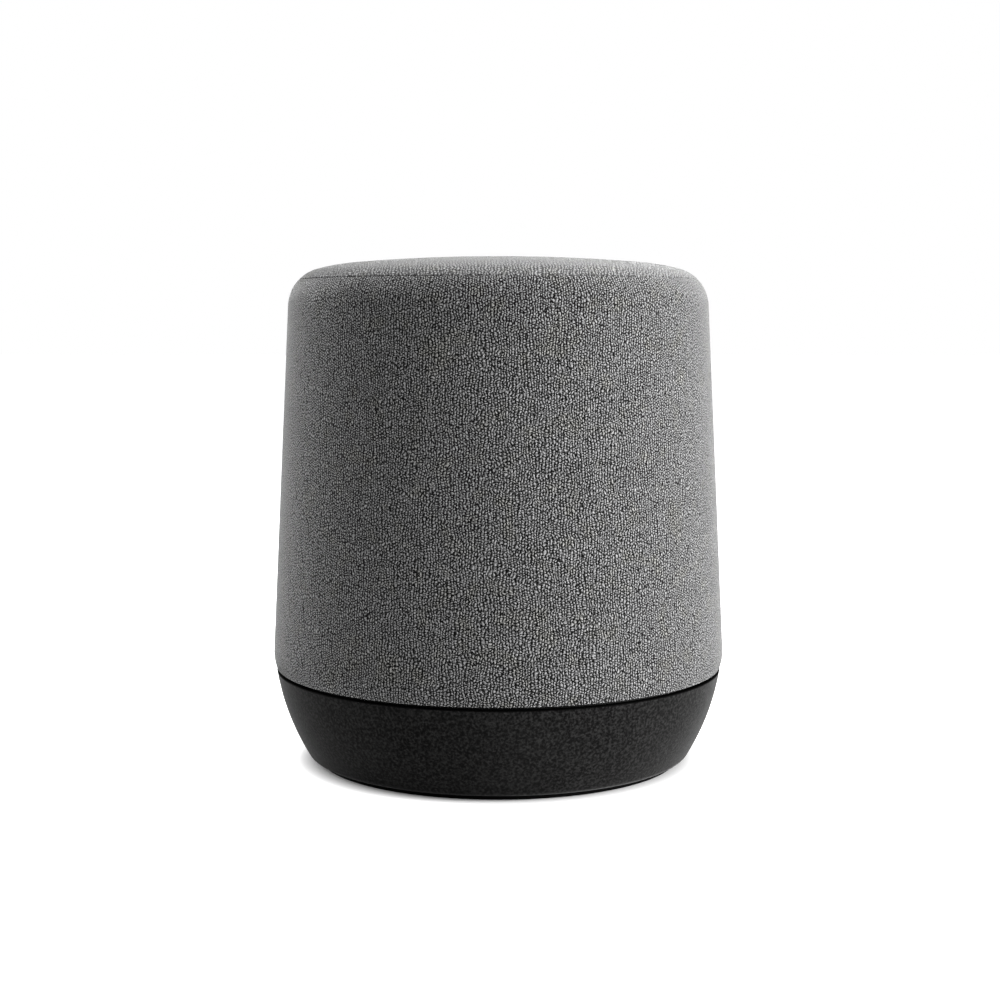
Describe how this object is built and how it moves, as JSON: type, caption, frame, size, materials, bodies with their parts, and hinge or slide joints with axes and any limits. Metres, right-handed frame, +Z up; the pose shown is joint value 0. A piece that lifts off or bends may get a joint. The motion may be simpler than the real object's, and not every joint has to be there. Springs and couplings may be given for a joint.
{
  "type": "smart speaker",
  "caption": "Round, slightly tapered table speaker: grey cloth barrel and crowned top over a curved dark base, with up-firing driver, passive radiators and rear ports.",
  "frame": {"origin": "centre of the foot ring's underside, on the surface it stands on", "axes": "+Z up along the speaker's axis, front towards -Y, rear ports towards +Y"},
  "size_m": [0.14, 0.14, 0.1556],
  "materials": {
    "side_cloth": "grey melange weave",
    "base_plastic": "fine matt texture",
    "foot_rubber": "matt",
    "frame_plastic": "matt",
    "knob_plastic": "satin",
    "enclosure_plastic": "moulded, matt",
    "seal_rubber": "soft, matt",
    "circuit_board": "solder mask",
    "component_black": "moulded",
    "connector_cream": "moulded",
    "cable_white": "flexible film",
    "lead_red": "flexible insulation",
    "screw_steel": "zinc plated",
    "basket_steel": "black powder coat",
    "plate_steel": "zinc plated",
    "magnet_ferrite": "sintered",
    "can_steel": "tinned",
    "aluminium": "satin",
    "copper_wire": "enamelled",
    "cone_paper": "pressed pulp",
    "spider_cloth": "varnished cloth",
    "surround_rubber": "satin",
    "guide_clear": "frosted",
    "light_cream": "gloss"
  },
  "bodies": {
    "speaker": {"fabric_sleeve": "side_cloth", "fabric_top": "side_cloth", "grille_frame": "frame_plastic", "top_frame": "frame_plastic", "base_shell": "base_plastic", "foot_ring": "foot_rubber", "base_screws": "screw_steel", "port_panel": "base_plastic", "io_board": "circuit_board", "board_screws": "screw_steel", "power_jack": "component_black", "mute_switch": "component_black", "tact_switch": "component_black", "port_ribbon": "cable_white", "chassis": "frame_plastic", "chassis_screws": "screw_steel", "main_board": "circuit_board", "shield_can": "can_steel", "heat_sink": "aluminium", "filter_capacitors": "aluminium", "output_inductors": "component_black", "board_connectors": "connector_cream", "ribbon_cable": "cable_white", "wifi_antennas": "circuit_board", "enclosure_lower": "enclosure_plastic", "enclosure_upper": "enclosure_plastic", "enclosure_gasket": "seal_rubber", "enclosure_screws": "screw_steel", "lead_grommet": "seal_rubber", "driver_leads": "lead_red", "driver_basket": "basket_steel", "driver_gasket": "seal_rubber", "driver_screws": "screw_steel", "driver_terminals": "component_black", "driver_surround": "surround_rubber", "driver_spider": "spider_cloth", "top_plate": "plate_steel", "magnet": "magnet_ferrite", "yoke": "plate_steel", "passive_screws": "screw_steel", "deflector": "enclosure_plastic", "deflector_screws": "screw_steel", "top_board": "circuit_board", "microphones": "can_steel", "mic_gaskets": "seal_rubber", "leds": "light_cream", "light_guide": "guide_clear", "passive_frame_right": "enclosure_plastic", "passive_surround_right": "surround_rubber", "passive_frame_left": "enclosure_plastic", "passive_surround_left": "surround_rubber"},
    "cone": {"driver_cone": "cone_paper", "dust_cap": "cone_paper", "coil_former": "aluminium", "coil_winding": "copper_wire"},
    "passive_right": {"passive_plate_right": "aluminium"},
    "passive_left": {"passive_plate_left": "aluminium"},
    "mute_slider": {"mute_knob": "knob_plastic"},
    "pairing_key": {"pairing_button": "knob_plastic"}
  },
  "joints": [
    {"name": "cone_travel", "type": "slide", "parent": "speaker", "child": "cone", "axis": [0, 0, 1], "range_m": [-0.004, 0.004], "stiffness_N_per_m": 1500, "deforming": ["driver_surround", "driver_spider"]},
    {"name": "passive_right_travel", "type": "slide", "parent": "speaker", "child": "passive_right", "axis": [1, 0, 0], "range_m": [-0.003, 0.003], "stiffness_N_per_m": 1200, "deforming": ["passive_surround_right"]},
    {"name": "passive_left_travel", "type": "slide", "parent": "speaker", "child": "passive_left", "axis": [-1, 0, 0], "range_m": [-0.003, 0.003], "stiffness_N_per_m": 1200, "deforming": ["passive_surround_left"]},
    {"name": "mute_slide", "type": "slide", "parent": "speaker", "child": "mute_slider", "axis": [1, 0, 0], "range_m": [0, 0.0025]},
    {"name": "pairing_press", "type": "slide", "parent": "speaker", "child": "pairing_key", "axis": [0, -1, 0], "range_m": [0, 0.0006], "stiffness_N_per_m": 2000}
  ]
}
